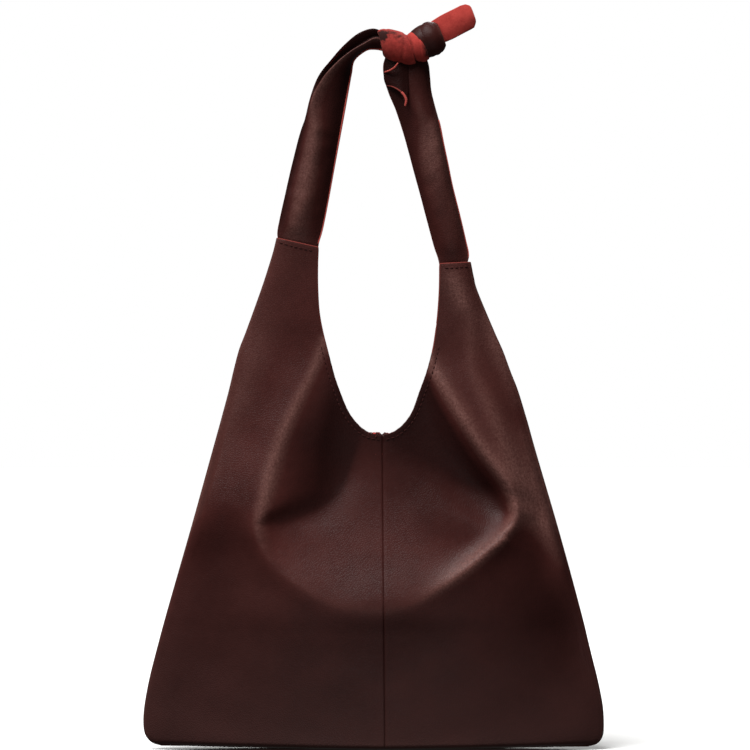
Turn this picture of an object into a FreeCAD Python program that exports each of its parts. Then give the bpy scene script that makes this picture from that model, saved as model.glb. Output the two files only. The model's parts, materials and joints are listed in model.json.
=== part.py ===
"""Hobo bag in unlined leather: four panels sewn inside out round a U-shaped mouth, two arms that rise either
side of it, and a leather strap sewn into each arm and tied to the other in a knot.

Millimetres, +Z up. The bag stands on its base at z = 0, the front faces -Y and the origin is under the middle of
its bounding box. The shell is a lens-shaped loft, cut to four panels by the middle plane and the centre seams."""

import FreeCAD
import Part
import math
import os

Vector = FreeCAD.Vector

# Driving dimensions
BAG_WIDTH = 420.0          # across the base
LEATHER = 1.6              # thickness of every leather piece
CORNER_R = 20.0            # bottom corners, seen from the front
SEAM_X = 9.5               # centre seams, front and back
MOUTH_Z = 286.5            # lowest point of the mouth's rim
FLANGE_DEPTH = 8.0         # seam allowance that stands inwards at each centre seam
FLANGE_TOP = 250.0
SEWN_GAP = 0.05            # between two layers of leather sewn face to face
THREAD_R = 0.45
STITCH_PITCH = 4.5
STITCH_LENGTH = 3.0
STITCH_GAP = 0.2           # a surface stitch lies this far off the leather
HEM_TOP = 345.0            # the mouth's hem is stitched up to here, on both arms
SEAM_TOP = 436.0           # the side seams are stitched up to here
HALF = BAG_WIDTH / 2
ABOVE = 520.0              # a height above both arms, for cutting tools
FAR = 300.0

# Side outlines above the corners, as (z, x)
LEFT_SIDE = [(20, -210), (45, -208), (90, -198.5), (290, -142), (363, -123), (417, -103), (480, -82)]
RIGHT_SIDE = [(20, 210), (45, 208), (90, 198.5), (290, 143), (344, 125), (399, 102), (480, 82)]
# Half depth in the middle of the bag and how square the lens is, as (z, depth, power)
DEPTHS = [(0, 26, 2.2), (4, 28, 2.2), (10, 30, 2.2), (20, 33, 2.2), (45, 37, 2.2), (90, 43, 2.2), (150, 46, 2.2),
          (220, 38, 2.4), (290, 17, 3), (330, 9, 4.5), (363, 6.0, 7), (400, 4.6, 9), (435, 3.8, 12), (480, 3.4, 14)]
# The rim of the mouth, from the left arm's tip round to the right arm's, as (x, z)
RIM = [(-50, 470), (-51, 430), (-49.5, 398), (-42, 363), (-31, 326), (-19, 302), (-7, 290.5), (9, MOUTH_Z),
       (23, 291), (34, 302), (42, 326), (54, 363), (58.5, 400), (60, 425), (58, 455)]
# Tips of the arms, as ((x, z), (x, z)) from the outer corner to the inner one
LEFT_TIP = ((-94, 466), (-46, 455.5))
RIGHT_TIP = ((94, 443.3), (54, 441))
# The ends of the straps inside the arms, as (x, z) round their outlines
LEFT_SEWN_END = [(-79, 440), (-54, 440), (-50, 458), (-44, 490), (-82, 490), (-77, 464)]
RIGHT_SEWN_END = [(80, 424), (63, 424), (58, 446), (50, 480), (79, 480), (77, 446)]

# The handle folds about the line through these two points, just above the arms' tips
FOLD_LEFT = Vector(-69.5, 0, 474)
FOLD_RIGHT = Vector(75, 0, 454.5)
FOLD_GAP = 3.8             # between a strap and its sewn end, where the leather bends
# The straps' middle lines as (x, z, width, roll, direction): roll turns the face about the strap's own length,
# and direction is its heading in degrees above +X
LEFT_STRAP = [(-71.5, 455, 39, 0, 77), (-63, 490, 39, 0, 77), (-55, 527, 35.5, 0, 77), (-46.5, 563, 32.5, 5, 76),
              (-40, 594, 29, 22, 70), (-32.5, 615, 28, 42, 60), (-22, 632, 27, 56, 46), (-9, 643, 26, 60, 26),
              (6.5, 644.5, 26, 62, 4)]
RIGHT_STRAP = [(77, 436, 29, 0, 105), (66, 473, 29, 0, 105), (52, 527, 30, 0, 105), (43, 564, 33, 0, 104),
               (34, 594, 37, 0, 102), (30.5, 619.5, 41, 0, 90)]

# Knot
KNOT_AT = Vector(22, 0, 637.5)
KNOT_TILT = 8.0            # the knot's axis above the horizontal, degrees
CORE_R = 8.0
CORE_GAP = 0.3
# The turns as (start and end along the axis, half depth, half height, rise, rounding of the ends)
FIRST_TURN = (-12, 13.5, 15, 15, -0.5, 5)
SECOND_TURN = (13.8, 22, 13, 13, -1, 3)
END_TURN = (22.3, 41, 15, 16, 0.5, 6)
# Upper tail, the free end of the left strap
TAIL_WIDTH = 24.0
UPPER_TAIL_AT = Vector(64.5, 0, 657)
UPPER_TAIL_TILT = 27.0
UPPER_TAIL_LENGTH = 30.0
UPPER_TAIL_TIP = 10.0      # length of the rounded tip
UPPER_TAIL_TIP_R = 17.0
# Lower tail, the free end of the right strap
LOWER_TAIL_AT = Vector(20, -2.4, 618.5)
LOWER_TAIL_LENGTH = 33.0
LOWER_TAIL_WIDTH = 21.0

# Magnetic closure: a tab from the back rim snaps onto a tab from the front rim
TAB_WIDTH = 24.0
TAB_REACH = 9.0            # each tab reaches this far past the middle of the bag
TAB_Z = 262.0              # underside of the front tab
TAB_HINGE = Vector(SEAM_X, 18.6, TAB_Z + 6.9)
SNAP_R = 7.0
SOCKET_HEIGHT = 3.0
SOCKET_FLOOR = 0.6
STUD_HEIGHT = 1.2
STUD_GAP = 0.3             # between the closed stud and its socket
POST_R = 2.0
POST_LENGTH = 2.0
POST_HOLE_R = 2.8
WASHER_HEIGHT = 0.8


def between(table, z, column=1):
    """The value in a column of table at height z, on straight lines between its rows."""
    for low, high in zip(table, table[1:]):
        if z <= high[0]:
            share = (z - low[0]) / (high[0] - low[0])
            return low[column] + share * (high[column] - low[column])
    return table[-1][column]


def side_x(table, z):
    """Where a side outline is at height z; the bottom corner is an arc."""
    if z >= CORNER_R:
        return between(table, z)
    reach = HALF - CORNER_R + math.sqrt(CORNER_R ** 2 - (CORNER_R - z) ** 2)
    return math.copysign(reach, table[0][1])


def lens(z, inset=0.0, z_drawn=None):
    """The closed outline of the bag at height z, its wall moved inwards by inset."""
    left, right = side_x(LEFT_SIDE, z), side_x(RIGHT_SIDE, z)
    depth, power = between(DEPTHS, z), between(DEPTHS, z, 2)
    middle, half = (left + right) / 2, (right - left) / 2
    reach = (1 - inset / depth) ** (1 / power)
    shares = [-1, -0.985, -0.95, -0.86, -0.7, -0.45, 0, 0.45, 0.7, 0.86, 0.95, 0.985, 1]
    drawn = z if z_drawn is None else z_drawn
    front = []
    for s in shares:
        u = s * reach
        y = 0 if abs(s) == 1 else inset - depth * (1 - abs(u) ** power)
        front.append(Vector(middle + half * u, y, drawn))
    back = [Vector(p.x, -p.y, p.z) for p in reversed(front)]
    edges = []
    for points in (front, back):
        curve = Part.BSplineCurve()
        curve.interpolate(points)
        edges.append(curve.toShape())
    return Part.Wire(edges)


def pillow(inset=0.0, floor=0.0):
    """The bag's whole volume, its wall moved inwards by inset and its base up by floor, as high as it has depth."""
    heights = [row[0] for row in DEPTHS if row[1] > 1.5 * inset]
    wires = [lens(heights[0], inset, floor)] + [lens(z, inset) for z in heights[1:]]
    return Part.makeLoft(wires, True)


def box(x0, x1, y0, y1, z0, z1):
    return Part.makeBox(x1 - x0, y1 - y0, z1 - z0, Vector(x0, y0, z0))


def prism(points, y0=-FAR, y1=FAR):
    """A closed polygon of (x, z) points, pushed along Y."""
    wire = Part.makePolygon([Vector(x, y0, z) for x, z in points + points[:1]])
    return Part.Face(wire).extrude(Vector(0, y1 - y0, 0))


def mouth_cut():
    """The space above the U-shaped rim, between the arms."""
    rim = Part.BSplineCurve()
    rim.interpolate([Vector(x, -FAR, z) for x, z in RIM])
    (x0, z0), (x1, z1) = RIM[0], RIM[-1]
    over = Part.makePolygon([Vector(x1, -FAR, z1), Vector(x1, -FAR, ABOVE),
                             Vector(x0, -FAR, ABOVE), Vector(x0, -FAR, z0)])
    return Part.Face(Part.Wire([rim.toShape()] + over.Edges)).extrude(Vector(0, 2 * FAR, 0))


def tip_cut(tip):
    """The space above the line across an arm's tip."""
    (x0, z0), (x1, z1) = tip
    return prism([(x0, z0), (x1, z1), (x1, ABOVE), (x0, ABOVE)])


def panels(outer):
    """The four leather panels. Each has half of the base, and a seam allowance inside its centre seam."""
    inner = pillow(LEATHER, LEATHER)
    flange = box(SEAM_X - LEATHER, SEAM_X + LEATHER, -FAR, FAR, 0, FLANGE_TOP)
    flange = flange.cut(pillow(LEATHER + FLANGE_DEPTH, LEATHER + FLANGE_DEPTH))
    shell = outer.cut(inner.cut(flange)).cut(mouth_cut())
    shell = shell.cut(tip_cut(LEFT_TIP)).cut(tip_cut(RIGHT_TIP))
    sides = {"left": (-FAR, SEAM_X), "right": (SEAM_X, FAR)}
    faces = {"front": (-FAR, 0), "back": (0, FAR)}
    made = {}
    for face, (y0, y1) in faces.items():
        for side, (x0, x1) in sides.items():
            made[f"{face}_{side}_panel"] = shell.common(box(x0, x1, y0, y1, -1, ABOVE))
    return made


def surface_y(outer, x, z, face):
    """The y of the outer surface at (x, z), on the front (face -1) or the back (face 1)."""
    cut = Part.makeLine(Vector(x, -FAR, z), Vector(x, FAR, z)).common(outer)
    return cut.BoundBox.YMin if face < 0 else cut.BoundBox.YMax


def stitch(middle, along, length=STITCH_LENGTH):
    along = Vector(along)
    along.normalize()
    return Part.makeCylinder(THREAD_R, length, middle - along * (length / 2), along)


def spaced(curve, first=0.0, pitch=STITCH_PITCH):
    """Points along an edge, pitch apart, as (point, direction)."""
    count = int((curve.Length - first) / pitch)
    found = []
    for i in range(count + 1):
        at = curve.getParameterByLength(first + i * pitch)
        found.append((curve.valueAt(at), curve.tangentAt(at)))
    return found


def surface_stitches(outer, places, faces=(-1, 1)):
    """Stitches that lie on the outside of the bag at places, which are (point, direction) in the XZ plane."""
    made = []
    for face in faces:
        for point, along in places:
            y = surface_y(outer, point.x, point.z, face)
            y += face * (THREAD_R + STITCH_GAP)
            made.append(stitch(Vector(point.x, y, point.z), Vector(along.x, 0, along.z)))
    return made


def rim_stitches(outer, face, margin=4.5):
    """The row that holds down the turned hem, round the lower part of the mouth."""
    rim = Part.BSplineCurve()
    rim.interpolate([Vector(x, 0, z) for x, z in RIM])
    edge = rim.toShape()
    places = []
    for point, along in spaced(edge):
        if point.z < HEM_TOP and abs(point.x - SEAM_X) > 2:
            outwards = Vector(along.z, 0, -along.x)
            places.append((point + outwards * margin, along))
    return surface_stitches(outer, places, (face,))


def tip_stitches(outer, tip, inner_x, outer_x, margin=4.0):
    """The row across an arm's tip that holds the strap's end, front and back."""
    (x0, z0), (x1, z1) = tip
    slope = (z1 - z0) / (x1 - x0)
    low, high = sorted((inner_x, outer_x))
    line = Part.makeLine(Vector(low, 0, z0 + slope * (low - x0) - margin),
                         Vector(high, 0, z0 + slope * (high - x0) - margin))
    return surface_stitches(outer, spaced(line, 1.5))


def centre_seam_stitches(face):
    """The seam's stitches, through the middle of the two seam allowances."""
    made = []
    z = 14.0
    while z < FLANGE_TOP - 6:
        half = (side_x(RIGHT_SIDE, z) - side_x(LEFT_SIDE, z)) / 2
        depth, power = between(DEPTHS, z), between(DEPTHS, z, 2)
        wall = depth * (1 - (SEAM_X / half) ** power) - LEATHER
        y = face * (wall - FLANGE_DEPTH / 2)
        made.append(stitch(Vector(SEAM_X, y, z), Vector(1, 0, 0), 2 * LEATHER + 0.6))
        z += STITCH_PITCH
    return made


def edge_seam_stitches():
    """The stitches that join front and back, up each side and along the base."""
    made = []
    for table, sign in ((LEFT_SIDE, 1), (RIGHT_SIDE, -1)):
        z = 10.0
        while z < SEAM_TOP:
            made.append(stitch(Vector(side_x(table, z) + sign * 2.2, 0, z), Vector(0, 1, 0), 1.8))
            z += 2 * STITCH_PITCH
    x = 10 - HALF + CORNER_R
    while x < HALF - CORNER_R - 8:
        made.append(stitch(Vector(x, 0, LEATHER / 2), Vector(0, 1, 0), 3.0))
        x += 2 * STITCH_PITCH
    return made


def ribbon(stations):
    """A strap of leather through stations, each (x, z, width, roll, direction)."""
    wires = []
    for x, z, width, roll, heading in stations:
        h, r = math.radians(heading), math.radians(roll)
        side = Vector(-math.sin(h), 0, math.cos(h))
        across = side * math.cos(r) + Vector(0, math.sin(r), 0)
        face = side * -math.sin(r) + Vector(0, math.cos(r), 0)
        middle = Vector(x, 0, z)
        corners = [middle + across * (a * width / 2) + face * (b * LEATHER / 2)
                   for a, b in ((-1, -1), (1, -1), (1, 1), (-1, 1))]
        wires.append(Part.makePolygon(corners + corners[:1]))
    return Part.makeLoft(wires, True, False)


def above_fold(shape):
    """What of a strap is above the handle's fold line."""
    return shape.cut(fold_side(-60, 0))


def fold_side(low, high):
    """A slab between two heights off the handle's fold line."""
    slope = (FOLD_RIGHT.z - FOLD_LEFT.z) / (FOLD_RIGHT.x - FOLD_LEFT.x)
    ends = [(x, FOLD_LEFT.z + slope * (x - FOLD_LEFT.x)) for x in (-150, 150)]
    (x0, z0), (x1, z1) = ends
    return prism([(x0, z0 + low), (x1, z1 + low), (x1, z1 + high), (x0, z0 + high)])


def sewn_end(outline):
    """The end of a strap that is sewn between the two layers of an arm, up to just under the fold line."""
    return prism(outline, -LEATHER / 2, LEATHER / 2).cut(fold_side(-FOLD_GAP, 100))


def on_knot(along, across=0.0):
    """A point on the knot's axis, along mm from the middle of its first turn."""
    tilt = math.radians(KNOT_TILT)
    return KNOT_AT + Vector(along * math.cos(tilt) - across * math.sin(tilt), 0,
                            along * math.sin(tilt) + across * math.cos(tilt))


def oval(start, end, half_depth, half_height, rise=0.0, soften=0.0):
    """A solid oval bar along the knot's axis from start to end, its ends rounded over by soften."""
    tilt = math.radians(KNOT_TILT)
    axis = Vector(math.cos(tilt), 0, math.sin(tilt))
    up = Vector(-math.sin(tilt), 0, math.cos(tilt))
    centre = on_knot(start, rise)
    if half_height >= half_depth:
        curve = Part.Ellipse(centre + up * half_height, centre + Vector(0, half_depth, 0), centre)
    else:
        curve = Part.Ellipse(centre + Vector(0, half_depth, 0), centre + up * half_height, centre)
    bar = Part.Face(Part.Wire(curve.toShape())).extrude(axis * (end - start))
    ends = [edge for edge in bar.Edges if edge.isClosed()]
    return bar.makeFillet(soften, ends) if soften else bar


def knot():
    """The left strap's stretch through the knot, and the three turns of strap round it."""
    hole = oval(-20, 60, CORE_R + CORE_GAP, CORE_R + CORE_GAP)
    return {
        "knot_core": oval(-14, 41, CORE_R, CORE_R),
        "knot_first_turn": oval(*FIRST_TURN).cut(hole),
        "knot_second_turn": oval(*SECOND_TURN).cut(hole),
        "knot_end_turn": oval(*END_TURN).cut(hole),
    }


def upper_tail():
    """A strip with a rounded end, from the knot's right side up and outwards."""
    half, straight = TAIL_WIDTH / 2, UPPER_TAIL_LENGTH - UPPER_TAIL_TIP
    strip = box(0, straight, -half, half, -LEATHER / 2, LEATHER / 2)
    tip = box(straight, UPPER_TAIL_LENGTH + UPPER_TAIL_TIP, -half, half, -LEATHER / 2, LEATHER / 2)
    round_at = Vector(UPPER_TAIL_LENGTH - UPPER_TAIL_TIP_R, 0, -LEATHER / 2)
    tip = tip.common(Part.makeCylinder(UPPER_TAIL_TIP_R, LEATHER, round_at))
    made = strip.fuse(tip).removeSplitter()
    made.rotate(Vector(0, 0, 0), Vector(1, 0, 0), 90)
    made.rotate(Vector(0, 0, 0), Vector(0, 1, 0), -UPPER_TAIL_TILT)
    made.translate(UPPER_TAIL_AT)
    return made


def lower_tail():
    """A strip that hangs in front of the right strap, its end cut on a slant."""
    x0, x1 = LOWER_TAIL_AT.x - LOWER_TAIL_WIDTH / 2, LOWER_TAIL_AT.x + LOWER_TAIL_WIDTH / 2
    top, low, y = LOWER_TAIL_AT.z, LOWER_TAIL_AT.z - LOWER_TAIL_LENGTH, LOWER_TAIL_AT.y
    return prism([(x0, top), (x1, top), (x1, low + 5), (x1 - 2, low), (x0 + 11, low + 14), (x0, low + 18)],
                 y - LEATHER / 2, y + LEATHER / 2)


def disc(radius, height, z):
    """A round piece of the snap, on its upright axis."""
    return Part.makeCylinder(radius, height, Vector(SEAM_X, 0, z))


def closure(outer):
    """The two tabs inside the rim, their magnetic snap and its washers."""
    x0, x1 = SEAM_X - TAB_WIDTH / 2, SEAM_X + TAB_WIDTH / 2
    wall = surface_y(outer, SEAM_X, TAB_Z, 1) - LEATHER
    lining = pillow(LEATHER + SEWN_GAP).cut(pillow(2 * LEATHER + SEWN_GAP))
    front_tab = box(x0, x1, -wall + 1.0, TAB_REACH, TAB_Z, TAB_Z + LEATHER)
    front_foot = lining.common(box(x0, x1, -FAR, 0, FLANGE_TOP + 1, TAB_Z + LEATHER))
    socket_z = TAB_Z + LEATHER
    socket = disc(SNAP_R, SOCKET_HEIGHT, socket_z)
    socket = socket.cut(disc(POST_HOLE_R, SOCKET_HEIGHT, socket_z + SOCKET_FLOOR))
    stud_z = socket_z + SOCKET_HEIGHT + STUD_GAP
    stud = disc(SNAP_R, STUD_HEIGHT, stud_z).fuse(disc(POST_R, POST_LENGTH, stud_z - POST_LENGTH)).removeSplitter()
    back_z = stud_z + STUD_HEIGHT
    back_tab = box(x0, x1, -TAB_REACH, TAB_HINGE.y - 0.4, back_z, back_z + LEATHER)
    back_foot = lining.common(box(x0, x1, 0, FAR, FLANGE_TOP + 1, back_z + LEATHER))
    return {
        "front_snap_tab": front_tab.fuse(front_foot).removeSplitter(),
        "snap_socket": socket,
        "snap_socket_washer": disc(SNAP_R - 1, WASHER_HEIGHT, TAB_Z - WASHER_HEIGHT),
        "snap_stud": stud,
        "snap_stud_cap": disc(SNAP_R - 1, WASHER_HEIGHT, back_z + LEATHER),
        "closure_tab": back_tab,
        "closure_tab_foot": back_foot,
    }


def main():
    outer = pillow()
    made = panels(outer)
    made["left_strap"] = above_fold(ribbon(LEFT_STRAP))
    made["right_strap"] = above_fold(ribbon(RIGHT_STRAP))
    made["left_strap_sewn_end"] = sewn_end(LEFT_SEWN_END)
    made["right_strap_sewn_end"] = sewn_end(RIGHT_SEWN_END)
    made.update(knot())
    made["left_strap_tail"] = upper_tail()
    made["right_strap_tail"] = lower_tail()
    made.update(closure(outer))
    groups = {
        "front_mouth_stitching": rim_stitches(outer, -1),
        "back_mouth_stitching": rim_stitches(outer, 1),
        "left_strap_stitching": tip_stitches(outer, LEFT_TIP, -52.5, -84),
        "right_strap_stitching": tip_stitches(outer, RIGHT_TIP, 62, 84),
        "front_centre_seam_thread": centre_seam_stitches(-1),
        "back_centre_seam_thread": centre_seam_stitches(1),
        "edge_seam_thread": edge_seam_stitches(),
    }
    made.update({name: Part.makeCompound(solids) for name, solids in groups.items()})
    os.makedirs("parts", exist_ok=True)
    for name, shape in made.items():
        shape.exportStep(f"parts/{name}.step")
        print(name, "valid" if shape.isValid() else "NOT VALID", len(shape.Solids), round(shape.Volume))


main()
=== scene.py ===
"""The looks of a hobo bag: four leather panels draped as they hang from their strap, the straps and
their knot, seams, stitches and raw edges. Shapes are worked out in millimetres and stored in metres."""
import json
import math

import bpy
import numpy as np
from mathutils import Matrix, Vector

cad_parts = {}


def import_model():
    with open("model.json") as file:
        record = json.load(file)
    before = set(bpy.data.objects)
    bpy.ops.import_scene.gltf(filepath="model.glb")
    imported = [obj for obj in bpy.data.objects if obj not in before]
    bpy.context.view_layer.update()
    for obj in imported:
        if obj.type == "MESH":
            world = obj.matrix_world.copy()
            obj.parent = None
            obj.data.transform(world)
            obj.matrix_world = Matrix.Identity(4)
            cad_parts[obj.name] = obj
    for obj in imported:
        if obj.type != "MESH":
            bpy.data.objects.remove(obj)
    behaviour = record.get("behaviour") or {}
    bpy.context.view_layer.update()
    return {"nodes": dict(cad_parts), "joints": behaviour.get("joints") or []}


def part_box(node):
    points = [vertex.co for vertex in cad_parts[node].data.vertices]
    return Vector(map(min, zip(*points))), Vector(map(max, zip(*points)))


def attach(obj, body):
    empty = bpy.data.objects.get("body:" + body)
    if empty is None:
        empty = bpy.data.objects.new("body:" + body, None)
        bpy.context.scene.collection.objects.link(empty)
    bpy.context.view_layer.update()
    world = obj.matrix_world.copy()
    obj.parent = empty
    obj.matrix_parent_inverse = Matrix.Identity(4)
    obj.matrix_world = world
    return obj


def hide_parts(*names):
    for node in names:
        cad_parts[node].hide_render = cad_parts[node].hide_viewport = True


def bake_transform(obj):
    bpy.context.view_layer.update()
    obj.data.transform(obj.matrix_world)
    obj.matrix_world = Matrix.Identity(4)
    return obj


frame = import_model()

MM = 0.001
LEATHER = 1.6              # thickness of the hide
STITCH_PITCH = 4.5
STITCH_LENGTH = 3.1
THREAD_R = 0.42

# The joint that folds the handle, as a point and a direction, in mm
joints = {joint["name"]: joint for joint in frame["joints"]}
FOLD_AT = np.array(joints["handle_fold"]["pos_m"]) / MM
FOLD_AXIS = np.array(joints["handle_fold"]["axis"])

# Outlines in the XZ plane
SEAM_LOW = (10.5, 0.0)
SEAM_HIGH = (8.0, 286.8)
MIRROR_X = SEAM_LOW[0] + SEAM_HIGH[0]    # x on the front and MIRROR_X - x on the back have the same fold
SPLIT_Z = 298.0            # height, at the sides, of the row that starts at the top of the centre seam
SIDES = {
    "left": [(-193, 3.4), (-202, 6.5), (-208, 14), (-209.6, 26), (-208.3, 42), (-204, 65), (-198, 89),
             (-188, 126), (-167, 199), (-147, 271), (-139.5, SPLIT_Z), (-132, 326), (-127.5, 345),
             (-122.5, 364), (-116, 381), (-103, 417), (-97, 435), (-91.5, 453), (-88.5, 465.5)],
    "right": [(195, 2.6), (204, 5.5), (209, 13), (209.8, 26), (208.6, 42), (204, 65), (198, 89), (189, 126),
              (169, 199), (148, 271), (140.5, SPLIT_Z), (132, 326), (125, 344), (118, 363), (110, 381),
              (95, 417), (91.5, 430), (88.8, 443.5)],
}
MOUTHS = {
    "left": [SEAM_HIGH, (0, 287.6), (-7, 290), (-15, 296.5), (-23.5, 308), (-31, 326), (-37, 344),
             (-42, 363), (-46.5, 381), (-49.7, 399), (-51, 420), (-51.2, 440), (-50.6, 457)],
    "right": [SEAM_HIGH, (14, 287.6), (20, 290), (28, 296.5), (36, 308), (42.5, 326), (49, 344), (54, 363),
              (57, 381), (59, 399), (60.3, 420), (60.6, 442)],
}
HEM_TOP = 362.0            # the rim is a turned hem up to here and a raw edge above it

# How far the front and back stand off the middle plane, outside and inside the fold round the bowl:
# (z, depth outside, depth inside, power of the lens)
DEPTHS = [(0, 26, 26, 2.2), (10, 26.5, 26.5, 2.2), (40, 28.5, 28.5, 2.2), (80, 33.0, 33.0, 2.2),
          (105, 37.5, 37.5, 2.2), (125, 41.5, 40.5, 2.2), (150, 42.5, 33.5, 2.2), (175, 41.5, 26.0, 2.2),
          (200, 39, 20.0, 2.3), (230, 32, 14.8, 2.4), (260, 25, 11.4, 2.7), (287, 19, 10.0, 3.2),
          (330, 11, 8, 4.5), (363, 6.5, 6, 7), (400, 5, 5, 9), (435, 4.3, 4.3, 12), (480, 4.0, 4.0, 14)]
LEAST_DEPTH = 3.9          # of a face off the middle plane, away from the side seams
BASE_FILLET = 5.0
FRONT_RAISED = 2.2         # how far the front's bottom edge stands off the ground
ROWS_UNDER = 12            # rows of a panel that lie under the base
SEAM_ROUND = 2.3           # radius of the folded edge at a seam

# Folds of the front: (x, z, height, width inside the line, width outside it)
CREST = [(-45, 372, 1.0, 9, 14), (-57, 342, 3.0, 10, 16), (-75, 306, 4.5, 12, 20), (-90, 269, 5.0, 13, 22),
         (-99, 233, 5.0, 13, 20), (-104.5, 203, 4.0, 14, 16), (-94, 176, 2.8, 18, 13),
         (-69, 152, 2.2, 26, 13), (-40, 135, 1.8, 30, 15), (-12, 129, 1.6, 34, 18), (12, 128, 1.6, 34, 18),
         (38, 136, 2.0, 30, 15), (61, 151, 3.0, 20, 13), (82, 166, 4.0, 13, 12), (101, 181, 4.8, 10, 11),
         (117, 195, 6.0, 9, 10), (128.5, 215, 8.5, 8, 10), (123, 239, 9.5, 8, 13), (97, 276, 8.0, 8, 15),
         (69, 321, 5.5, 8, 14), (51, 352, 1.5, 7, 12)]
HOLLOWS = [
    [(-30, 345, -1.0, 14, 14), (-20, 312, -3.5, 20, 24), (-18, 284, -6.0, 24, 34), (-25, 258, -7.5, 24, 38),
     (-32, 243, -8.0, 22, 38), (-46, 226, -7.0, 18, 34), (-67, 215, -4.0, 14, 24), (-88, 207, -1.2, 10, 12)],
    [(44, 340, -1.5, 9, 14), (46, 315, -4.5, 15, 24), (52, 288, -6.0, 18, 34), (64, 264, -6.5, 20, 38),
     (84, 246, -6.0, 18, 36), (104, 231, -4.5, 14, 26), (121, 222, -2.0, 8, 12)],
    [(14, 268, 0.8, 14, 18), (36, 244, 3.0, 15, 26), (64, 222, 6.0, 14, 30), (90, 206, 6.5, 11, 22),
     (108, 198, 3.5, 8, 10)],
]
# Painted shade in the hollows, darkest along these lines: (x, z, share, width inside the line, width outside
# it)
PAINTED_SHADE = [
    [(-16, 322, 0.8, 5, 26), (-16, 300, 1.2, 5, 26), (-20.5, 281, 1.5, 5, 27), (-26.5, 258, 1.4, 5, 27),
     (-31, 244, 1.3, 5, 26), (-44, 227, 1.05, 6, 22), (-66, 216, 0.75, 6, 15), (-85, 209, 0.3, 5, 8)],
    [(43, 344, 1.2, 4, 44), (52, 316, 1.8, 5, 56), (67.5, 290, 1.5, 5, 40), (84.5, 264, 1.2, 5, 26),
     (103, 242, 1.0, 5, 18), (116, 226, 0.7, 4, 10)],
]
# Small places with a painted highlight, in the same way
PAINTED_HIGHLIGHT_SPOTS = [
    [(71, 430, 0.5, 5, 5), (75, 420, 1.2, 7, 7), (80, 406, 0.7, 5, 5)],
    [(101, 394, 0.6, 5, 5), (110, 372, 1.2, 6, 6), (118, 350, 0.9, 5, 6), (130, 316, 0.3, 5, 5)],
    [(137, 286, 0.4, 8, 8), (146, 250, 0.9, 9, 10), (156, 212, 0.9, 9, 10), (165, 186, 0.2, 8, 8)],
    [(-105, 372, 0.3, 14, 14), (-122, 325, 0.45, 14, 14), (-143, 272, 0.3, 12, 12),
     (-160, 225, 0.45, 14, 14), (-172, 180, 0.3, 12, 12)],
]
# Painted shade low on the panels, in the same way
PAINTED_LOW_SHADE = [
    [(136, 196, 0.3, 8, 14), (142, 170, 0.7, 12, 20), (150, 140, 1.0, 20, 26), (164, 112, 1.0, 28, 26),
     (174, 84, 0.5, 24, 22)],
    [(-112, 206, 0.2, 20, 20), (-128, 200, 0.5, 20, 30), (-146, 190, 0.5, 16, 34)],
    [(-140, 176, 0.3, 26, 30), (-160, 130, 0.5, 30, 30), (-176, 80, 0.35, 30, 24)],
]
# Folds outside the crest, up to the side seams, in the same way as CREST
FLANKS = [
    [(-116, 345, 1.0, 16, 16), (-130, 290, 2.5, 20, 20), (-145, 240, 3.5, 22, 22), (-158, 206, 2.0, 20, 20)],
    [(-110, 208, 1.5, 18, 24), (-120, 218, 5.0, 20, 36), (-134, 226, 8.0, 20, 44), (-150, 215, 7.5, 20, 44),
     (-166, 200, 5.0, 18, 40)],
    [(76, 425, 1.5, 10, 10), (88, 392, 2.5, 10, 10), (90, 345, 3.0, 14, 9), (109, 303, 5.0, 15, 12),
     (127, 257, 6.5, 16, 17), (143, 222, 7.0, 17, 24), (171, 173, 4.5, 16, 26)],
    [(78, 240, -2.0, 12, 12), (140, 226, -3.0, 8, 8), (152, 196, -3.5, 9, 9), (170, 140, -2.5, 14, 14),
     (182, 90, -2.0, 18, 14)],
]


# ---------------------------------------------------------------- curves and grids

def curve_at(points, at):
    """Points of a smooth curve through the given ones; at counts along them from 0."""
    p = np.asarray(points, float)
    padded = np.concatenate([2 * p[:1] - p[1:2], p, 2 * p[-1:] - p[-2:-1]])
    at = np.clip(np.asarray(at, float), 0, len(p) - 1 - 1e-9)
    i = at.astype(int)
    t = (at - i).reshape((-1,) + (1,) * (p.ndim - 1))
    a, b, c, d = (padded[i + k] for k in range(4))
    squared, cubed = 2 * a - 5 * b + 4 * c - d, 3 * b - a - 3 * c + d
    return 0.5 * (2 * b + (c - a) * t + squared * t ** 2 + cubed * t ** 3)


def along(points, shares, axes=3):
    """Points at these shares of a smooth curve's length; the first axes columns are places."""
    fine_at = np.linspace(0, len(points) - 1, 40 * len(points))
    fine = curve_at(points, fine_at)
    steps = np.linalg.norm(np.diff(fine[:, :axes], axis=0), axis=1)
    length = np.concatenate([[0], np.cumsum(steps)])
    return curve_at(points, np.interp(np.asarray(shares) * length[-1], length, fine_at))


def spline(points, count, axes=3):
    return along(points, np.linspace(0, 1, count), axes)


def smooth(x):
    x = np.clip(x, 0, 1)
    return x * x * (3 - 2 * x)


def unit(v):
    return v / np.maximum(np.linalg.norm(v, axis=-1, keepdims=True), 1e-9)


def right_of(line):
    """The direction square to an (x, z) line at each point, to the right of its heading."""
    heading = unit(np.gradient(line, axis=0))
    return np.stack([heading[:, 1], -heading[:, 0]], axis=1)


def nearest(x, z, line):
    """For each (x, z): the distance to a line of (x, z, ...) samples, positive to its left, and which."""
    x, z = np.asarray(x), np.asarray(z)
    gap = (x[..., None] - line[:, 0]) ** 2 + (z[..., None] - line[:, 1]) ** 2
    at = gap.argmin(-1)
    heading = np.gradient(line[:, :2], axis=0)[at]
    side = heading[..., 0] * (z - line[at, 1]) - heading[..., 1] * (x - line[at, 0])
    return np.sqrt(np.take_along_axis(gap, at[..., None], -1)[..., 0]) * np.sign(side), at


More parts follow.
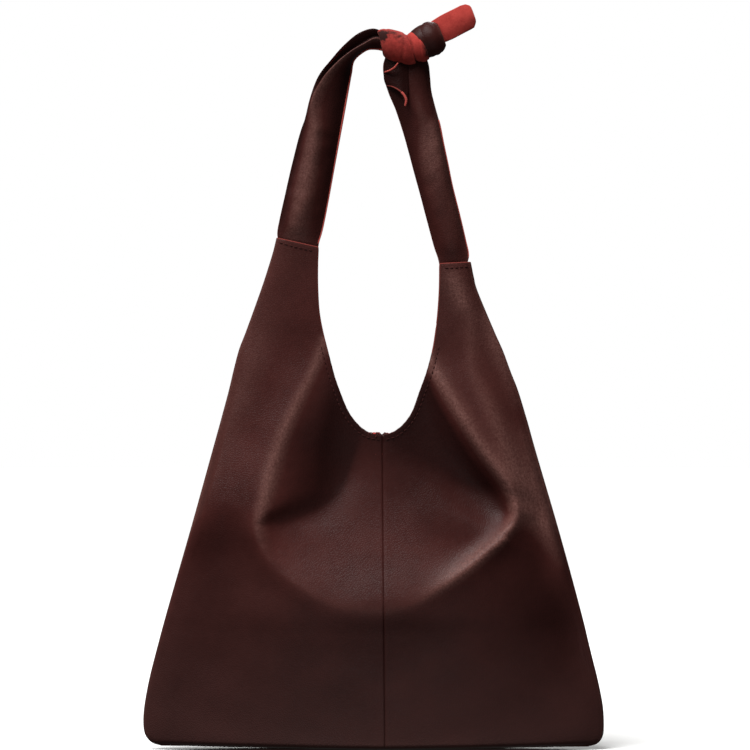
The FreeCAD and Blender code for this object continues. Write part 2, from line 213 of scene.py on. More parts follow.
def fold(x, z, points, mirror=False, tip=1.2):
    """The height that a fold of the leather adds at each (x, z). A small tip makes a sharp fold."""
    line = spline(points, 160, 2)
    if mirror:
        line = line * [-1, 1, 1, 1, 1] + [MIRROR_X, 0, 0, 0, 0]
    away = nearest(x, z, line)[0]
    gap = (x[..., None] - line[:, 0]) ** 2 + (z[..., None] - line[:, 1]) ** 2
    least = gap.min(-1, keepdims=True)
    blur = 5 + 0.3 * np.sqrt(least)        # the length of line that a place takes its fold from
    share = np.exp(-(gap - least) / (2 * blur ** 2))
    height, inside, outside = (share @ line[:, 2:] / share.sum(-1)[..., None]).transpose(2, 0, 1)
    width = np.where((away > 0) != mirror, inside, outside)
    return height * np.exp(tip - np.hypot(tip, 1.5 * away / width))


def folds(x, z, lines, mirror):
    return sum(fold(x, z, line, mirror) for line in lines)


def unevenness(x, z, size, seed, lengths=(38, 130)):
    """Random waves, about size high."""
    rng = np.random.default_rng(seed)
    total = np.zeros_like(x)
    for _ in range(9):
        angle, length, phase = rng.uniform(0, math.pi), rng.uniform(*lengths), rng.uniform(0, 2 * math.pi)
        total += np.sin((x * math.cos(angle) + z * math.sin(angle)) * 2 * math.pi / length + phase) * length
    return size * total / (1.5 * sum(lengths))


# ---------------------------------------------------------------- meshes

def add_object(name, data):
    made = bpy.data.objects.new(name, data)
    bpy.context.scene.collection.objects.link(made)
    return made


def ring_faces(rings, sides):
    """Faces between rings of points, each with this many."""
    pairs = [(j, (j + 1) % sides) for j in range(sides)]
    return [(i * sides + j, i * sides + k, (i + 1) * sides + k, (i + 1) * sides + j)
            for i in range(rings - 1) for j, k in pairs]


class Piece:
    """A mesh made up of sheets, tubes and stitches. Its faces use the materials by number."""

    def __init__(self, name, materials):
        self.name, self.materials = name, materials
        self.points, self.faces, self.kinds, self.wear_and_painted_light = [], [], [], []
        self.count = 0

    def add(self, points, faces, kind, wear_and_painted_light=None):
        points = np.asarray(points, float).reshape(-1, 3)
        self.points.append(points)
        self.wear_and_painted_light.append(np.zeros(len(points)) if wear_and_painted_light is None else np.asarray(wear_and_painted_light, float).reshape(-1))
        self.faces += [[i + self.count for i in face] for face in faces]
        self.kinds += list(kind) if hasattr(kind, "__len__") else [kind] * len(faces)
        self.count += len(points)

    def sheet(self, grid, facing, thickness=LEATHER, kinds=(0, 1, 2), wear_and_painted_light=None, edge_kind=None, wrap=False):
        """A sheet of hide whose outer face is grid and looks the way facing points. Its edges are half round.
        kinds are the materials of the outer face, the inner face and the edges, and edge_kind(point) may
        give an edge another one."""
        n, m = grid.shape[:2]
        if wrap:
            ring = np.concatenate([grid[:, -1:], grid, grid[:, :1]], axis=1)
            du, dv = np.gradient(grid, axis=0), np.gradient(ring, axis=1)[:, 1:-1]
        else:
            du, dv = np.gradient(grid, axis=0), np.gradient(grid, axis=1)
        normal = unit(np.cross(du, dv))
        flip = (normal * facing).sum() < 0
        if flip:
            normal = -normal
        inner = grid - normal * thickness
        number = np.arange(n * m).reshape(n, m)
        quads = []
        for i in range(n - 1):
            for j in range(m if wrap else m - 1):
                k = (j + 1) % m
                quads.append((number[i, j], number[i + 1, j], number[i + 1, k], number[i, k]))
        if flip:
            quads = [q[::-1] for q in quads]
        back = [tuple(i + n * m for i in q[::-1]) for q in quads]
        wear_and_painted_light = np.zeros((n, m)) if wear_and_painted_light is None else wear_and_painted_light
        start = self.count
        self.add(np.concatenate([grid.reshape(-1, 3), inner.reshape(-1, 3)]), quads, kinds[0],
                 np.concatenate([wear_and_painted_light.ravel(), wear_and_painted_light.ravel() * 0]))
        self.faces += [[i + start for i in face] for face in back]
        self.kinds += [kinds[1]] * len(back)
        if wrap:
            loops = [[(0, j) for j in range(m)], [(n - 1, j) for j in range(m)][::-1]]
        else:
            loop = [(0, j) for j in range(m)] + [(i, m - 1) for i in range(1, n)]
            loop += [(n - 1, j) for j in range(m - 2, -1, -1)] + [(i, 0) for i in range(n - 2, 0, -1)]
            loops = [loop]
        for loop in loops:
            out = np.zeros((len(loop), 3))
            for k, (i, j) in enumerate(loop):
                if i in (0, n - 1):
                    out[k] += unit(du[i, j]) * (-1 if i == 0 else 1)
                if not wrap and j in (0, m - 1):
                    out[k] += unit(dv[i, j]) * (-1 if j == 0 else 1)
            out = unit(out)
            rows, cols = zip(*loop)
            top, face = grid[rows, cols], normal[rows, cols]
            centre = top - face * thickness / 2
            arcs = [centre + thickness / 2 * (face * math.cos(a) + out * math.sin(a))
                    for a in (math.pi / 4, math.pi / 2, 3 * math.pi / 4)]
            size = len(loop)
            first = self.count
            self.add(arcs, [], 0)
            ids = [[start + number[i, j] for i, j in loop]]
            ids += [[first + a * size + k for k in range(size)] for a in range(3)]
            ids += [[start + n * m + number[i, j] for i, j in loop]]
            for a in range(4):
                for k in range(size):
                    after = (k + 1) % size
                    quad = [ids[a][k], ids[a][after], ids[a + 1][after], ids[a + 1][k]]
                    self.faces.append(quad[::-1] if flip else quad)
                    self.kinds.append(edge_kind(top[k]) if edge_kind else kinds[2])

    def tube(self, path, radius, kind=0, sides=8):
        """A round bar along a path, closed at both ends. radius is one number or one for each point."""
        path = np.asarray(path, float)
        n = len(path)
        radius = np.broadcast_to(radius, n)
        heading = unit(np.gradient(path, axis=0))
        guide = np.array([0, 1, 0]) if abs(heading[:, 1]).mean() < 0.8 else np.array([1, 0, 0])
        a = unit(np.cross(heading, guide))
        b = np.cross(heading, a)
        turn = np.arange(sides) * 2 * math.pi / sides
        rings = path[:, None] + radius[:, None, None] * (a[:, None] * np.cos(turn)[None, :, None]
                                                         + b[:, None] * np.sin(turn)[None, :, None])
        faces = ring_faces(n, sides)
        faces.append(tuple(range(sides))[::-1])
        faces.append(tuple(range((n - 1) * sides, n * sides)))
        self.add(rings, faces, kind)

    def stitch(self, middle, direction, kind=0, length=STITCH_LENGTH, sink=0.35, out=(0, -1, 0)):
        """One stitch: it rises from the leather, lies along it and goes back in."""
        direction = unit(np.asarray(direction, float))
        out = np.asarray(out, float)
        shares = np.linspace(-1, 1, 7)
        lift = THREAD_R * (1 - sink) - 0.9 * THREAD_R * shares ** 4
        path = middle + direction * (shares[:, None] * length / 2) + out * lift[:, None]
        self.tube(path, THREAD_R * (1 - 0.35 * shares ** 4), kind, 6)

    def build(self):
        mesh = bpy.data.meshes.new(self.name)
        points = np.concatenate(self.points) * MM
        mesh.from_pydata(points.tolist(), [], [list(map(int, f)) for f in self.faces])
        for material in self.materials:
            mesh.materials.append(material)
        mesh.polygons.foreach_set("material_index", self.kinds)
        mesh.polygons.foreach_set("use_smooth", [True] * len(self.kinds))
        # The attribute holds wear and painted light: painted highlights and rubbing above 0, painted shade
        # and dark seams below 0
        mesh.attributes.new("wear_and_painted_light", "FLOAT", "POINT").data.foreach_set("value", np.concatenate(self.wear_and_painted_light))
        mesh.validate()
        mesh.update()
        return add_object(self.name, mesh)


def loft(stations, columns, rows):
    """A grid through stations, each a list of points across the strap. The same point of each station stays
    in the same column, so that a crease runs along the strap."""
    across = np.array([curve_at(station, np.linspace(0, len(station) - 1, columns)) for station in stations])
    fine_at = np.linspace(0, len(stations) - 1, 400)
    middle = curve_at(across[:, columns // 2, :3], fine_at)
    length = np.concatenate([[0], np.cumsum(np.linalg.norm(np.diff(middle, axis=0), axis=1))])
    at = np.interp(np.linspace(0, length[-1], rows), length, fine_at)
    return curve_at(across, at)


# ---------------------------------------------------------------- materials

class Look:
    """A material. The inputs of its nodes are numbers, colours or other nodes' outputs."""

    def __init__(self, name):
        self.material = bpy.data.materials.new(name)
        self.material.use_nodes = True
        self.tree = self.material.node_tree
        self.tree.nodes.clear()
        self.shader = self.node("BsdfPrincipled")
        self.node("OutputMaterial", {0: self.shader.outputs[0]})
        own = self.node("TexCoord").outputs["Object"]
        self.place = self.node("VectorMath", {0: own, 3: 1 / MM}, operation="SCALE").outputs[0]    # in mm

    def fill(self, made, inputs):
        for key, value in inputs.items():
            if isinstance(value, bpy.types.NodeSocket):
                self.tree.links.new(value, made.inputs[key])
            else:
                made.inputs[key].default_value = value

    def node(self, kind, inputs=None, **settings):
        made = self.tree.nodes.new("ShaderNode" + kind)
        for key, value in settings.items():
            setattr(made, key, value)
        self.fill(made, inputs or {})
        return made

    def noise(self, length, detail=3.0, rough=0.5, place=None):
        inputs = {"Vector": self.place if place is None else place, "Scale": 1 / length, "Detail": detail}
        return self.node("TexNoise", {**inputs, "Roughness": rough}).outputs[0]

    def cells(self, place, size):
        """0 on the lines between cells of about this size, more inside them."""
        inputs = {"Vector": place, "Scale": 1 / size}
        return self.node("TexVoronoi", inputs, feature="DISTANCE_TO_EDGE").outputs[0]

    def wear_and_painted_light(self):
        """Above 0 where a piece is rubbed lighter or has a painted highlight, below 0 where it has painted
        shade, a stain or a dark seam.
        """
        return self.node("Attribute", attribute_name="wear_and_painted_light").outputs["Fac"]

    def span(self, value, low, high, to_low=0.0, to_high=1.0):
        return self.node("MapRange", {0: value, 1: low, 2: high, 3: to_low, 4: to_high}).outputs[0]

    def mixed(self, share, first, second):
        return self.node("Mix", {0: share, 6: first, 7: second}, data_type="RGBA").outputs[2]

    def maths(self, operation, first, second, clamp=False):
        return self.node("Math", {0: first, 1: second}, operation=operation, use_clamp=clamp).outputs[0]

    def bump(self, *heights):
        """Bumps on top of each other: (height, strength, distance in mm)."""
        below = {}
        for height, strength, distance in heights:
            inputs = {"Height": height, "Strength": strength, "Distance": distance * MM, **below}
            below = {"Normal": self.node("Bump", inputs).outputs[0]}
        self.fill(self.shader, below)


def grain_leather(name, dark, light, worn_and_highlight, shade_and_seam_dark, painted_sheen):
    """Full-grain leather: pebbled cells with fine creases between them and cloudy dye, lighter where it is
    rubbed and where a highlight is painted in, darker where shade is painted into hollows and along the
    centre seam, and greyer towards the base as a painted sheen."""
    look = Look(name)
    drift = look.node("VectorMath", {0: look.place, 1: look.noise(3.0)}, operation="ADD").outputs[0]
    pebble = look.span(look.cells(drift, 1.9), 0.0, 0.22)
    cloud, mottle = look.noise(55.0, 4.0, 0.55), look.noise(6.0, 4.0, 0.6)
    dye = look.maths("ADD", look.span(cloud, 0.3, 0.7, 0.0, 0.75), look.span(mottle, 0.3, 0.7, 0.0, 0.25))
    height = look.node("SeparateXYZ", {0: look.place}).outputs["Z"]
    # Painted sheen: the colour goes greyer towards the base
    colour = look.mixed(look.span(height, 0, 190, 0.5, 0.0), look.mixed(dye, dark, light), painted_sheen)
    wear_and_painted_light = look.wear_and_painted_light()
    patchy = look.span(look.noise(2.2, 5.0, 0.65), 0.3, 0.65, 0.3, 1.0)
    # Painted highlight, with some real rubbing: above 0 the colour goes towards a pale one
    colour = look.mixed(look.maths("MULTIPLY", wear_and_painted_light, patchy, True), colour, worn_and_highlight)
    # Painted shade, and the dark centre seam: below 0 the colour goes towards near-black
    colour = look.mixed(look.maths("MULTIPLY", wear_and_painted_light, -0.85, True), colour, shade_and_seam_dark)
    colour = look.mixed(look.span(pebble, 0.0, 1.0, 0.25, 0.0), colour, dark)
    gloss = look.span(look.maths("ADD", cloud, look.maths("MULTIPLY", mottle, 0.6)), 0.5, 1.1, 0.33, 0.45)
    look.fill(look.shader, {"Base Color": colour, "Roughness": gloss, "Specular IOR Level": 0.09})
    look.bump((mottle, 0.25, 0.35), (pebble, 0.5, 0.2), (look.cells(drift, 0.8), 0.25, 0.08))
    return look.material


def suede(name, dark, light, nap=0.55):
    """The flesh side of the hide: matt, fibrous, brushed darker and lighter, with dark patches that are
    mostly painted shade in the knot's holes and gaps.
    """
    look = Look(name)
    stretched = look.node("Mapping", {"Vector": look.place, "Scale": (1.0, 1.0, 0.45)}).outputs[0]
    fibre, brushed = look.noise(0.55, 6.0, 0.7, stretched), look.noise(9.0, 4.0, 0.6)
    fibrous, cloudy = look.span(fibre, 0.3, 0.7, 0.0, nap), look.span(brushed, 0.3, 0.7, 0.0, 1 - nap)
    share = look.maths("ADD", fibrous, cloudy)
    patchy = look.span(look.noise(3.0, 5.0, 0.65), 0.4, 0.6, 0.35, 1.0)
    # Painted shade, and some darker tone: dark patches where the attribute is below 0
    stain_and_shade = look.maths("MULTIPLY", look.maths("MULTIPLY", look.wear_and_painted_light(), -1.0), patchy, True)
    colour = look.mixed(stain_and_shade, look.mixed(share, dark, light), (0.020, 0.004, 0.0035, 1))
    look.fill(look.shader, {"Base Color": colour, "Roughness": 0.95, "Specular IOR Level": 0.2,
                            "Sheen Weight": 0.08, "Sheen Roughness": 0.55, "Sheen Tint": (1.0, 0.35, 0.3, 1)})
    look.bump((brushed, 0.3, 0.5), (fibre, 0.75, 0.3))
    return look.material


def thread(name, colour, light):
    """Waxed thread, twisted."""
    look = Look(name)
    twist = look.node("TexWave", {"Vector": look.place, "Scale": 1.4, "Distortion": 1.5}).outputs[1]
    look.fill(look.shader, {"Base Color": look.mixed(look.span(twist, 0.2, 0.8, 0.0, 0.6), colour, light),
                            "Roughness": 0.75, "Specular IOR Level": 0.12})
    look.bump((twist, 0.5, 0.15))
    return look.material


def aged_brass(name, dull, bright):
    look = Look(name)
    rubbed = look.noise(2.5, 5.0, 0.6)
    look.fill(look.shader, {"Base Color": look.mixed(look.span(rubbed, 0.35, 0.7), dull, bright),
                            "Roughness": look.span(rubbed, 0.3, 0.7, 0.42, 0.25), "Metallic": 1.0})
    look.bump((look.noise(0.4), 0.15, 0.05))
    return look.material


# Its colours: its own dark and light dye, a pale one for painted highlights and rubbing, a near-black one for
# painted shade and the dark centre seam, and a grey one for a painted sheen towards the base
GRAIN = grain_leather("grain_leather", (0.036, 0.0095, 0.0082, 1), (0.068, 0.0172, 0.0145, 1),
                      (0.170, 0.076, 0.064, 1), (0.010, 0.0024, 0.0021, 1), (0.060, 0.035, 0.032, 1))
SUEDE = suede("red_suede", (0.24, 0.017, 0.014, 1), (0.56, 0.068, 0.054, 1))
RAW = suede("raw_edge", (0.10, 0.014, 0.011, 1), (0.24, 0.045, 0.035, 1), 0.7)
LIP = suede("cut_edge", (0.30, 0.030, 0.024, 1), (0.60, 0.120, 0.095, 1), 0.7)
THREAD = thread("waxed_thread", (0.040, 0.0100, 0.0085, 1), (0.070, 0.0175, 0.0145, 1))
BRASS = aged_brass("aged_brass", (0.20, 0.13, 0.06, 1), (0.50, 0.38, 0.20, 1))
HIDE = [GRAIN, SUEDE, RAW, LIP]
# Numbers in HIDE for a sheet's outer face, inner face and edges
GRAIN_OUT, FLESH_OUT = (0, 1, 2), (1, 0, 2)


# ---------------------------------------------------------------- the pouch

def depth_profile(z):
    rows = spline(DEPTHS, 400, 1)
    return [np.interp(z, rows[:, 0], rows[:, k]) for k in (1, 2, 3)]


def from_crest(x, z, mirror):
    """How far each (x, z) is inside the fold round the sagging middle, negative outside it."""
    return nearest(MIRROR_X - x if mirror else x, z, spline(CREST, 160, 2)[:, :2])[0]


def rim_samples(count):
    """The rim of the mouth from the left arm round to the right arm."""
    return np.concatenate([spline(MOUTHS["left"], count, 2)[::-1], spline(MOUTHS["right"], count, 2)[1:]])


def side_lines(side):
    """One side's borders, row by row: the inner one (centre seam, then mouth) and the outer one."""
    outer = SIDES[side]
    split = outer.index(next(p for p in outer if p[1] == SPLIT_Z))
    low = np.concatenate([np.linspace(0, 0.045, 9)[:-1], np.linspace(0.045, 1, 112)])
    high = np.linspace(0, 1, 76)
    shares_in = np.concatenate([along([SEAM_LOW, SEAM_HIGH], low, 2), along(MOUTHS[side], high, 2)[1:]])
    shares_out = np.concatenate([along(outer[:split + 1], low, 2), along(outer[split:], high, 2)[1:]])
    return shares_in, shares_out


def swelling(x, z, mirror):
    """The depth of the bag before its folds: a lens at each height, less deep where the middle sags."""
    left = spline(SIDES["left"], 300, 2)
    right = spline(SIDES["right"], 300, 2)
    x0, x1 = np.interp(z, left[:, 1], left[:, 0]), np.interp(z, right[:, 1], right[:, 0])
    outside, inside, power = depth_profile(z)
    # The leather sags over this distance inside the crest, past a shelf with a soft edge
    reach = 22 - 14 * smooth((x - 30) / 60)
    shelf = 24 * smooth((-15 - x) / 40) * smooth((z - 205) / 30)
    shelf += 5 * smooth((x - 30) / 40) * smooth((z - 215) / 20)
    past = from_crest(x, z, mirror) - shelf
    past = 0.5 * (past + np.sqrt(past ** 2 + (0.7 * shelf) ** 2))
    sag = (1 - np.exp(-np.clip(past, 0, None) / reach)) * (0.05 if mirror else 1.0)
    u = np.clip(np.abs((x - (x0 + x1) / 2) / ((x1 - x0) / 2)), 0, 1)
    return (outside + (inside - outside) * sag) * (1 - u ** power)


def crest_highlight_share(x, z):
    """How much painted highlight, with some rubbing, the crest takes at a point of it: little along the
    bottom of the bowl.
    """
    if z > 205 or x > 80:
        return 1
    return 0.6 if z > 190 or x > 50 else 0.08


def panel_shape(x, z, face, away_side):
    """How far a panel's outer face stands off the middle plane, and its wear and painted light: above 0 is
    lighter.
    """
    mirror = face == "back"
    calm = 0.7 if mirror else 1.0
    inside = smooth(away_side / 34) * smooth((z - 4) / 60)
    crest = fold(x, z, CREST, mirror, 0.6)
    hollows = folds(x, z, HOLLOWS, mirror) * (0.25 if mirror else 1.0)
    flanks = folds(x, z, FLANKS, mirror) * smooth(away_side / 9) * smooth((z - 4) / 60)
    waves = unevenness(x, z, 0.55, 11 if mirror else 5) * smooth(away_side / 20) * smooth(z / 30)
    depth = swelling(x, z, mirror) + calm * (inside * (crest + hollows) + flanks) + waves

    # The side seam: a folded edge, past which the face stays clear of the middle plane
    corner = np.clip(away_side / SEAM_ROUND, 0, 1)
    depth = np.maximum(depth, 0.6) * smooth(away_side / 6 + 0.15)
    depth += SEAM_ROUND * np.sqrt(1 - (1 - corner) ** 2)
    depth = np.where(away_side < 1e-6, 0.15, depth)
    depth = np.where(away_side > SEAM_ROUND, np.maximum(depth, LEAST_DEPTH * smooth(away_side / 8)), depth)

    # The centre seam: a groove between two low rolls, puckered at each stitch
    to_seam = np.abs(nearest(x, z, spline([SEAM_LOW, SEAM_HIGH], 300, 2))[0])
    pucker = 0.5 + 0.5 * np.cos(2 * math.pi * z / STITCH_PITCH)
    depth -= np.where(z < SEAM_HIGH[1] + 1, 0.7 * np.exp(-(to_seam / 0.6) ** 2), 0)
    depth -= 0.10 * pucker * np.exp(-((to_seam - 2.5) / 2.0) ** 2)
    depth += 0.10 * np.exp(-((to_seam - 3.2) / 1.8) ** 2)

    # The hem: a roll at the rim and a groove along the stitches, puckered
    to_rim, rim_at = nearest(x, z, rim_samples(200))
    to_rim = np.abs(to_rim)
    hem = smooth((HEM_TOP + 6 - z) / 12)
    rim_pucker = 0.5 + 0.5 * np.cos(2 * math.pi * rim_at / 6.0)
    depth += hem * (0.3 * np.exp(-((to_rim - 2.2) / 2.2) ** 2) - 0.22 * np.exp(-((to_rim - 4.5) / 0.8) ** 2))
    depth -= hem * 0.10 * rim_pucker * np.exp(-((to_rim - 7) / 3) ** 2)

    # Lighter: a painted highlight with some rubbing along the crest, a painted highlight along the right
    # flank's fold, rubbing and a painted highlight on the side seams' folded edges, and rubbing at the rim
    rubbed = [(a, b, crest_highlight_share(a, b), 9 if a < 0 else 7, 4.5 if a < 0 else 6) for a, b, *_ in CREST]
    # Painted highlight along the right flank's fold
    flank_highlight = [(a, b, h / 7, 0.5 * i, 0.5 * o) for a, b, h, i, o in FLANKS[2]]
    wear_and_painted_light = 1.3 * inside * fold(x, z, rubbed, mirror, 0.8) + 0.45 * np.exp(-(away_side / 2.0) ** 2)
    wear_and_painted_light += 0.9 * smooth(away_side / 5) * fold(x, z, flank_highlight, mirror) + 0.2 * hem * np.exp(-(to_rim / 1.2) ** 2)
    # Painted highlights at small places, painted light along the base's lower edge where its rounding falls
    # into shade, and painted light towards the tops of the arms
    wear_and_painted_light += 0.75 * folds(x, z, PAINTED_HIGHLIGHT_SPOTS, mirror) + 0.6 * np.exp(-z / 7) + 0.12 * smooth((z - 330) / 60)

    # Painted shade in the hollows, low on the panels, in the bowl and under the fold round it, and a darker
    # centre seam
    wear_and_painted_light -= 0.95 * inside * np.clip(folds(x, z, PAINTED_SHADE, mirror), 0, 1)
    wear_and_painted_light -= 0.5 * np.clip(folds(x, z, PAINTED_LOW_SHADE, mirror), 0, 1) * smooth(away_side / 6)
    wear_and_painted_light -= 0.35 * np.where(z < SEAM_HIGH[1], np.exp(-(to_seam / 0.8) ** 2), 0)
    beyond = from_crest(x, z, mirror)
    # Painted shade in the bowl, then under the fold round it
    wear_and_painted_light -= (0.12 + 0.1 * smooth((x - 4) / 12)) * smooth(beyond / 10) * smooth((z - 178) / 40)
    wear_and_painted_light -= 0.34 * smooth((216 - z) / 26) * smooth((-2 - beyond) / 12)
    if mirror:
        wear_and_painted_light = np.maximum(wear_and_painted_light, 0.25 * wear_and_painted_light)
    return depth, np.clip(wear_and_painted_light, -1, 1)


def panel(side, face):
    """One quarter of the pouch: from the base seam, round the base's edge and up to the tip of the arm."""
    inner, outer = side_lines(side)
    columns = 84
    u = np.linspace(0, 1, columns)
    v = (u - 0.72 / (2 * math.pi) * np.sin(2 * math.pi * u))[None, :, None]
    flat = inner[:, None] * (1 - v) + outer[:, None] * v
    x, z = flat[..., 0], flat[..., 1]
    away_side = (1 - v[..., 0]) * np.linalg.norm(outer - inner, axis=1)[:, None]
    depth, wear_and_painted_light = panel_shape(x, z, face, away_side)
    base_z = z[0][None, :]
    lift = np.clip((z - base_z) / BASE_FILLET, 0, 1)
    fillet = np.minimum(BASE_FILLET, 0.8 * depth[0])[None, :] * (1 - np.sqrt(1 - (1 - lift) ** 2))
    depth = depth - fillet
    share = np.linspace(0, 1, ROWS_UNDER, endpoint=False)[:, None]
    under_y = share * depth[0][None, :]
    raised = FRONT_RAISED if face == "front" else 0.0
    under_z = np.repeat(base_z, ROWS_UNDER, 0) + 1.1 * np.exp(-(under_y / 1.3) ** 2) + raised * share ** 2
    under_x = np.repeat(x[0][None, :], ROWS_UNDER, 0)
    x, z = np.concatenate([under_x, x]), np.concatenate([under_z, z + raised * np.exp(-z / 8)])
    depth = np.concatenate([under_y, depth])
    wear_and_painted_light = np.concatenate([np.zeros_like(under_y) + 0.15, wear_and_painted_light])
    sign = -1 if face == "front" else 1
    grid = np.stack([x, sign * depth, z], axis=-1)
    border_x, border_z = np.array(SIDES[side][3:]).T

    def edge_kind(point):
        """Raw red edges show on the arms above the hem and across their tips."""
        px, _, pz = point
        on_side = abs(px - np.interp(pz, border_z, border_x)) < 1.5
        return 2 if pz > HEM_TOP and not (on_side and pz < border_z[-1] - 2) else 0

    made = Piece(f"{face}_{side}_leather", HIDE)
    made.sheet(grid, (0, sign, 0), wear_and_painted_light=wear_and_painted_light, edge_kind=edge_kind)
    return made.build(), grid


grids = {}
for face in ("front", "back"):
    for side in ("left", "right"):
        piece, grids[face, side] = panel(side, face)
        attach(piece, "bag")
        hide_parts(f"{face}_{side}_panel")


def surface_point(face, x, z):
    """The point of a face's leather nearest to (x, z), and the way out of it."""
    best = None
    for side in ("left", "right"):
        grid = grids[face, side][ROWS_UNDER + 2:]
        gap = (grid[..., 0] - x) ** 2 + (grid[..., 2] - z) ** 2
        i, j = np.unravel_index(gap.argmin(), gap.shape)
        if best is None or gap[i, j] < best[0]:
            low_i, high_i = max(i - 1, 0), min(i + 1, gap.shape[0] - 1)
            low_j, high_j = max(j - 1, 0), min(j + 1, gap.shape[1] - 1)
            normal = unit(np.cross(grid[high_i, j] - grid[low_i, j], grid[i, high_j] - grid[i, low_j]))
            outwards = -1 if face == "front" else 1
            if normal[1] * outwards < 0:
                normal = -normal
            best = (gap[i, j], grid[i, j].copy(), normal)
    point, normal = best[1], best[2]
    slope_x, slope_z = (np.clip(-normal[i] / normal[1], -1.5, 1.5) for i in (0, 2))
    point[1] += np.clip(slope_x * (x - point[0]) + slope_z * (z - point[2]), -1.5, 1.5)
    point[0], point[2] = x, z
    return point, normal


def rim_line(margin):
    """The rim of the mouth moved outwards by margin, from the left arm round to the right arm."""
    rim = rim_samples(300)
    return rim + margin * right_of(rim)


def stitched(made, line, face, skip=None):
    """A row of stitches along an (x, z) line on a face of the bag."""
    length = np.linalg.norm(np.diff(line, axis=0), axis=1).sum()
    count = int(length / STITCH_PITCH)
    places = along(line[::6], (np.arange(count) + 0.5) / count, 2)
    ahead = along(line[::6], (np.arange(count) + 0.6) / count, 2)
    for (x, z), (x1, z1) in zip(places, ahead):
        if skip and skip(x, z):
            continue
        point, normal = surface_point(face, x, z)
        heading = np.array([x1 - x, 0, z1 - z])
        heading -= normal * heading.dot(normal)
        made.stitch(point, heading, out=normal)


for face in ("front", "back"):
    rows = Piece(f"{face}_hem_stitches", [THREAD])
    stitched(rows, rim_line(4.5), face, lambda x, z: z > HEM_TOP + 6 or abs(x - SEAM_HIGH[0]) < 2.2)
    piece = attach(rows.build(), "bag")
    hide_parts(f"{face}_mouth_stitching")


def hem(face):
    """The turned-in strip of leather inside the rim, held by the stitches."""
    made = Piece(f"{face}_hem", HIDE)
    whole = rim_line(0)

    def edge_kind(point):
        return 2 if abs(nearest(point[0], point[2], whole)[0]) > 5 else 0

    for side in ("left", "right"):
        rim = spline([p for p in MOUTHS[side] if p[1] < HEM_TOP + 8], 90, 2)
        outwards = right_of(rim) * (-1 if side == "left" else 1)
        grid = []
        for margin in np.linspace(0.8, 8.5, 6):
            row = []
            for x, z in rim + outwards * margin:
                point, normal = surface_point(face, x, z)
                row.append(point - normal * (LEATHER + 0.15))
            grid.append(row)
        facing = (0, -1 if face == "front" else 1, 0)
        made.sheet(np.array(grid), facing, 1.2, kinds=FLESH_OUT, edge_kind=edge_kind)
    return made.build()


for face in ("front", "back"):
    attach(hem(face), "bag")


def seam_allowance(face):
    """The two edges of leather that stand inwards along a centre seam, and the thread through them."""
    sign = -1 if face == "front" else 1
    leather = Piece(f"{face}_seam_allowance", HIDE)
    threads = Piece(f"{face}_seam_thread", [THREAD])
    z = np.linspace(16, 243, 80)
    x = np.interp(z, [SEAM_LOW[1], SEAM_HIGH[1]], [SEAM_LOW[0], SEAM_HIGH[0]])
    y = np.array([surface_point(face, a, b)[0][1] for a, b in zip(x, z)])
    for side in (-1, 1):
        grid = []
        for reach in np.linspace(0.6, 8.5, 6):
            spread = side * (0.12 + 0.02 * reach ** 1.7 * (1 + 0.25 * np.sin(z / 17 + side)))
            grid.append(np.stack([x + spread, y - sign * reach, z], axis=-1))
        leather.sheet(np.array(grid), (-side, 0, 0), 1.4)
    for height in np.arange(20, 241, STITCH_PITCH):
        px, py = np.interp(height, z, x), np.interp(height, z, y)
        through = [(px + reach, py - sign * 5, height) for reach in (-2.1, 2.1)]
        threads.tube(through, THREAD_R, sides=6)
    return leather.build(), threads.build()


for face in ("front", "back"):
    leather, threads = (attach(piece, "bag") for piece in seam_allowance(face))
    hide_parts(f"{face}_centre_seam_thread")


def edge_thread():
    """The thread that closes the sides and the base, deep between the two folded edges."""
    made = Piece("edge_seam_stitches", [THREAD])
    for side, sign in (("left", 1), ("right", -1)):
        line = spline(SIDES[side][3:-1], 400, 2)
        for x, z in line[::4]:
            made.stitch(np.array([x + sign * 1.1, 0, z]), (0, 1, 0), length=3.0, out=(-sign, 0, 0))
    for x in np.arange(-185, 188, 2 * STITCH_PITCH):
        made.stitch(np.array([x, 0, 2.1 + 0.016 * abs(x)]), (0, 1, 0), length=3.4, out=(0, 0, -1))
    return made.build()


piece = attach(edge_thread(), "bag")
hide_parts("edge_seam_thread")


# ---------------------------------------------------------------- the straps

def strap_blend(piece):
    """Bakes a strap's placement into its mesh."""
    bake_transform(piece)
